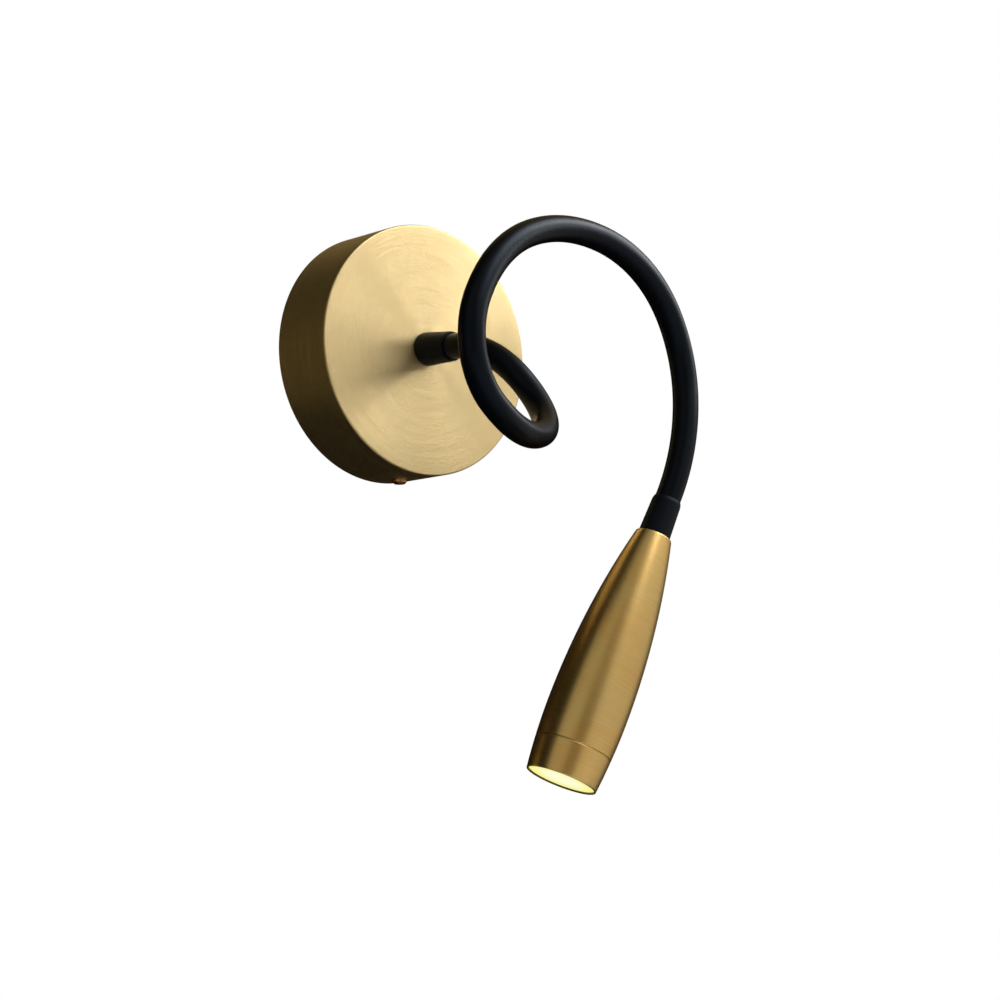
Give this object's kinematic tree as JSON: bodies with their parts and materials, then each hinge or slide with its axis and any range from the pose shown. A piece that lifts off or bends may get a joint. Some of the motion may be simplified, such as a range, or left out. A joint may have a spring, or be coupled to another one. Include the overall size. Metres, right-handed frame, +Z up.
{
  "type": "adjustable wall lamp",
  "caption": "Wall lamp with a round brass canopy, a black flexible hose set in one open loop, and a slim brass bullet-shaped spot head that can be aimed.",
  "frame": {"origin": "centre of the canopy on the wall, midway between the two wall slots of the bracket, in the plane of the wall", "axes": "+X to the right seen from the room, +Y into the wall, +Z up; the lamp stands out of the wall along -Y"},
  "size_m": [0.1323, 0.1331, 0.2272],
  "materials": {
    "aluminium": "turned",
    "board": "white solder mask",
    "brushed_brass": "brushed and lacquered, a little dull",
    "cable": "white jacket",
    "chip": "yellow phosphor",
    "copper_brass": "reddish brass",
    "lead": "brown insulation",
    "lens": "frosted",
    "reflector": "polished",
    "rubber": "matt black",
    "silicone": "matt black silicone",
    "steel": "bright",
    "tape": "white foam tape",
    "thread_brass": "turned, bare",
    "white_plastic": "moulded, white",
    "zinc_steel": "zinc plated"
  },
  "bodies": {
    "canopy": {"wall_bracket": "zinc_steel", "canopy_shell": "brushed_brass", "canopy_screws": "copper_brass", "earth_washer": "steel", "earth_screw": "copper_brass", "terminal_block": "white_plastic", "terminal_screw": "steel", "driver": "white_plastic", "driver_tape": "tape", "driver_leads": "lead", "hose_nipple": "thread_brass", "lock_washer": "steel", "nipple_nut": "thread_brass", "boot": "rubber", "sleeve_root": "silicone", "core_root": "steel", "cable_root": "cable"},
    "link_1": {"sleeve_1": "silicone", "core_1": "steel", "cable_1": "cable"},
    "link_2": {"sleeve_2": "silicone", "core_2": "steel", "cable_2": "cable"},
    "link_3": {"sleeve_3": "silicone", "core_3": "steel", "cable_3": "cable"},
    "link_4": {"sleeve_4": "silicone", "core_4": "steel", "cable_4": "cable"},
    "link_5": {"sleeve_5": "silicone", "core_5": "steel", "cable_5": "cable"},
    "link_6": {"sleeve_6": "silicone", "core_6": "steel", "cable_6": "cable"},
    "link_7": {"sleeve_7": "silicone", "core_7": "steel", "cable_7": "cable"},
    "link_8": {"sleeve_8": "silicone", "core_8": "steel", "cable_8": "cable"},
    "link_9": {"sleeve_9": "silicone", "core_9": "steel", "cable_9": "cable"},
    "head": {"sleeve_tip": "silicone", "core_tip": "steel", "cable_tip": "cable", "collar": "rubber", "head_nipple": "thread_brass", "head_shell": "brushed_brass", "heat_sink": "aluminium", "led_board": "board", "board_screws": "steel", "led_chip": "chip", "head_leads": "lead", "reflector": "reflector", "lens_gasket": "rubber", "lens": "lens", "bezel": "brushed_brass"}
  },
  "joints": [
    {"name": "flex_0", "type": "hinge", "parent": "canopy", "child": "link_1", "pos_m": [0, -0.04796, -0.00105], "axis": [0.9483, -0.0221, 0.3165], "range_deg": [-30, 20]},
    {"name": "flex_1", "type": "hinge", "parent": "link_1", "child": "link_2", "pos_m": [0.00532, -0.08276, -0.01943], "axis": [-0.9397, -0.3401, -0.0358], "range_deg": [-25, 25]},
    {"name": "flex_2", "type": "hinge", "parent": "link_2", "child": "link_3", "pos_m": [-0.00859, -0.10867, -0.04393], "axis": [-0.4261, 0.8578, -0.2874], "range_deg": [-30, 20]},
    {"name": "flex_3", "type": "hinge", "parent": "link_3", "child": "link_4", "pos_m": [-0.04448, -0.12439, -0.03762], "axis": [0.534, 0.1185, 0.8371], "range_deg": [-25, 25]},
    {"name": "flex_4", "type": "hinge", "parent": "link_4", "child": "link_5", "pos_m": [-0.05425, -0.12767, -0.00147], "axis": [-0.1704, 0.9852, -0.0163], "range_deg": [-30, 20]},
    {"name": "flex_5", "type": "hinge", "parent": "link_5", "child": "link_6", "pos_m": [-0.02594, -0.12231, 0.02643], "axis": [0.4158, -0.1105, -0.9027], "range_deg": [-25, 25]},
    {"name": "flex_6", "type": "hinge", "parent": "link_6", "child": "link_7", "pos_m": [0.01387, -0.11726, 0.03143], "axis": [-0.0284, 0.9584, 0.2842], "range_deg": [-30, 20]},
    {"name": "flex_7", "type": "hinge", "parent": "link_7", "child": "link_8", "pos_m": [0.05021, -0.11122, 0.01469], "axis": [-0.5807, -0.2714, -0.7675], "range_deg": [-25, 25]},
    {"name": "flex_8", "type": "hinge", "parent": "link_8", "child": "link_9", "pos_m": [0.06528, -0.10892, -0.02163], "axis": [0.5569, 0.821, -0.126], "range_deg": [-30, 20]},
    {"name": "flex_9", "type": "hinge", "parent": "link_9", "child": "head", "pos_m": [0.05619, -0.10885, -0.06135], "axis": [0.5569, 0.821, -0.126], "range_deg": [-30, 20]}
  ]
}
